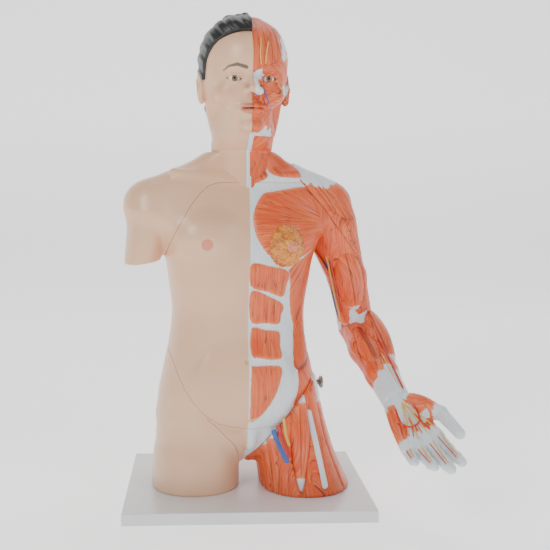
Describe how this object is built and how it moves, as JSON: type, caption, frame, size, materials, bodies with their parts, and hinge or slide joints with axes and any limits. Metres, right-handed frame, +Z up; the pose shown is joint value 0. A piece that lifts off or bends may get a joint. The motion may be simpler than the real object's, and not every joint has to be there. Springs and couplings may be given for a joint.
{
  "type": "torso anatomy model",
  "caption": "Life-size teaching torso on a board: skin on one side, muscles on the other, with a lift-off front wall, organs, opening head, muscle arm and thigh.",
  "frame": {"origin": "centre of the board's underside", "axes": "+Z up, -Y towards the front of the board, +X towards the figure's left (muscle) arm"},
  "size_m": [0.5739, 0.4558, 0.895],
  "materials": {
    "board_white": "smooth white laminate, satin",
    "screw_steel": "satin steel",
    "knob_steel": "dull nickel",
    "black_plastic": "satin black",
    "skin": "painted moulded plastic, semi-gloss",
    "body_paint": "skin paint on one side, muscle red and tendon white on the other, semi-gloss",
    "wall_paint": "skin paint on the right half, muscle red and tendon white on the left half, semi-gloss",
    "muscle": "painted muscle red with fine light streaks, semi-gloss",
    "head_paint": "painted muscle red with white bone edges, semi-gloss",
    "fat_yellow": "mottled yellow paint, semi-gloss",
    "lung_pink": "painted, semi-gloss",
    "heart_red": "painted, semi-gloss",
    "liver_brown": "painted, gloss",
    "stomach_pink": "painted, semi-gloss",
    "gut_pink": "painted, semi-gloss",
    "kidney_brown": "painted, semi-gloss",
    "bladder_yellow": "painted, semi-gloss",
    "bone": "painted, satin",
    "cartilage": "painted, satin",
    "brain_pink": "painted, satin",
    "eye_white": "gloss"
  },
  "bodies": {
    "base": {"board": "board_white", "board_screws": "screw_steel", "body_shell": "body_paint", "left_thigh": "muscle", "wall_pins": "screw_steel", "screw_insert": "screw_steel", "hip_bush": "black_plastic", "spine": "bone", "kidneys": "kidney_brown", "windpipe": "cartilage"},
    "chest_and_belly_wall": {"front_wall": "wall_paint"},
    "breast_gland": {"breast_gland": "fat_yellow"},
    "pubic_insert": {"pubic_insert": "skin"},
    "hip_screw": {"hip_screw": "knob_steel"},
    "thigh_muscle": {"rectus_femoris": "muscle"},
    "head": {"head_skin_half": "skin", "neck_muscles": "muscle", "brain_right": "brain_pink", "eye_right": "eye_white"},
    "head_cover": {"head_muscle_half": "head_paint", "eye_left": "eye_white"},
    "brain_left": {"brain_left": "brain_pink"},
    "arm": {"arm_core": "muscle", "hand": "cartilage", "triceps": "muscle"},
    "deltoid": {"deltoid": "muscle"},
    "biceps": {"biceps": "muscle"},
    "brachioradialis": {"brachioradialis": "muscle"},
    "forearm_flexor": {"forearm_flexor": "muscle"},
    "lung_left": {"lung_left": "lung_pink"},
    "lung_right": {"lung_right": "lung_pink"},
    "heart_front": {"heart_front": "heart_red"},
    "heart_back": {"heart_back": "heart_red"},
    "liver": {"liver": "liver_brown"},
    "stomach": {"stomach": "stomach_pink"},
    "large_intestine": {"large_intestine": "gut_pink"},
    "small_intestine": {"small_intestine": "gut_pink"},
    "bladder": {"bladder": "bladder_yellow"}
  },
  "joints": [
    {"name": "front_wall_lift_off", "type": "slide", "parent": "base", "child": "chest_and_belly_wall", "axis": [0.1392, -0.9903, 0], "range_m": [0, 0.5]},
    {"name": "breast_gland_lift_off", "type": "slide", "parent": "chest_and_belly_wall", "child": "breast_gland", "axis": [0.1392, -0.9903, 0], "range_m": [0, 0.08]},
    {"name": "pubic_insert_lift_off", "type": "slide", "parent": "base", "child": "pubic_insert", "axis": [0.1392, -0.9903, 0], "range_m": [0, 0.12]},
    {"name": "hip_screw_turn", "type": "hinge", "parent": "base", "child": "hip_screw", "pos_m": [0.1357, 0.02682, 0.199], "axis": [0.9903, 0.1392, 0], "continuous": true},
    {"name": "thigh_muscle_lift_off", "type": "slide", "parent": "base", "child": "thigh_muscle", "axis": [-0.0009, -0.9876, 0.1571], "range_m": [0, 0.12]},
    {"name": "head_lift_off", "type": "slide", "parent": "base", "child": "head", "axis": [0, 0, 1], "range_m": [0, 0.15]},
    {"name": "head_cover_lift_off", "type": "slide", "parent": "head", "child": "head_cover", "axis": [0.9903, 0.1392, 0], "range_m": [0, 0.2]},
    {"name": "brain_left_lift_out", "type": "slide", "parent": "head", "child": "brain_left", "axis": [0.9903, 0.1392, 0], "range_m": [0, 0.08]},
    {"name": "arm_pull_off", "type": "slide", "parent": "base", "child": "arm", "axis": [0.92, 0.1293, 0.3701], "range_m": [0, 0.1]},
    {"name": "deltoid_lift_off", "type": "slide", "parent": "arm", "child": "deltoid", "axis": [0.7706, 0.1083, 0.628], "range_m": [0, 0.12]},
    {"name": "biceps_lift_off", "type": "slide", "parent": "arm", "child": "biceps", "axis": [0.0572, -0.9678, -0.2451], "range_m": [0, 0.09]},
    {"name": "brachioradialis_lift_off", "type": "slide", "parent": "arm", "child": "brachioradialis", "axis": [0.9883, 0.1361, 0.0693], "range_m": [0, 0.08]},
    {"name": "forearm_flexor_lift_off", "type": "slide", "parent": "arm", "child": "forearm_flexor", "axis": [-0.6958, -0.4316, 0.5741], "range_m": [0, 0.08]},
    {"name": "heart_front_lift_out", "type": "slide", "parent": "base", "child": "heart_front", "axis": [0.1392, -0.9903, 0], "range_m": [0, 0.311]},
    {"name": "heart_back_lift_out", "type": "slide", "parent": "base", "child": "heart_back", "axis": [0.1392, -0.9903, 0], "range_m": [0, 0.241]},
    {"name": "lung_left_lift_out", "type": "slide", "parent": "base", "child": "lung_left", "axis": [0.1392, -0.9903, 0], "range_m": [0, 0.171]},
    {"name": "lung_right_lift_out", "type": "slide", "parent": "base", "child": "lung_right", "axis": [0.1392, -0.9903, 0], "range_m": [0, 0.171]},
    {"name": "stomach_lift_out", "type": "slide", "parent": "base", "child": "stomach", "axis": [0.1392, -0.9903, 0], "range_m": [0, 0.221]},
    {"name": "liver_lift_out", "type": "slide", "parent": "base", "child": "liver", "axis": [0.1392, -0.9903, 0], "range_m": [0, 0.201]},
    {"name": "small_intestine_lift_out", "type": "slide", "parent": "base", "child": "small_intestine", "axis": [0.1392, -0.9903, 0], "range_m": [0, 0.311]},
    {"name": "large_intestine_lift_out", "type": "slide", "parent": "base", "child": "large_intestine", "axis": [0.1392, -0.9903, 0], "range_m": [0, 0.201]},
    {"name": "bladder_lift_out", "type": "slide", "parent": "base", "child": "bladder", "axis": [0.1392, -0.9903, 0], "range_m": [0, 0.171]}
  ],
  "couplings": [
    {"joint": "heart_front_lift_out", "follows": "front_wall_lift_off", "ratio": 0.62},
    {"joint": "heart_back_lift_out", "follows": "front_wall_lift_off", "ratio": 0.48},
    {"joint": "lung_left_lift_out", "follows": "front_wall_lift_off", "ratio": 0.34},
    {"joint": "lung_right_lift_out", "follows": "front_wall_lift_off", "ratio": 0.34},
    {"joint": "stomach_lift_out", "follows": "front_wall_lift_off", "ratio": 0.44},
    {"joint": "liver_lift_out", "follows": "front_wall_lift_off", "ratio": 0.4},
    {"joint": "small_intestine_lift_out", "follows": "front_wall_lift_off", "ratio": 0.62},
    {"joint": "large_intestine_lift_out", "follows": "front_wall_lift_off", "ratio": 0.4},
    {"joint": "bladder_lift_out", "follows": "front_wall_lift_off", "ratio": 0.34},
    {"joint": "brain_left_lift_out", "follows": "head_cover_lift_off", "ratio": 0.38}
  ]
}
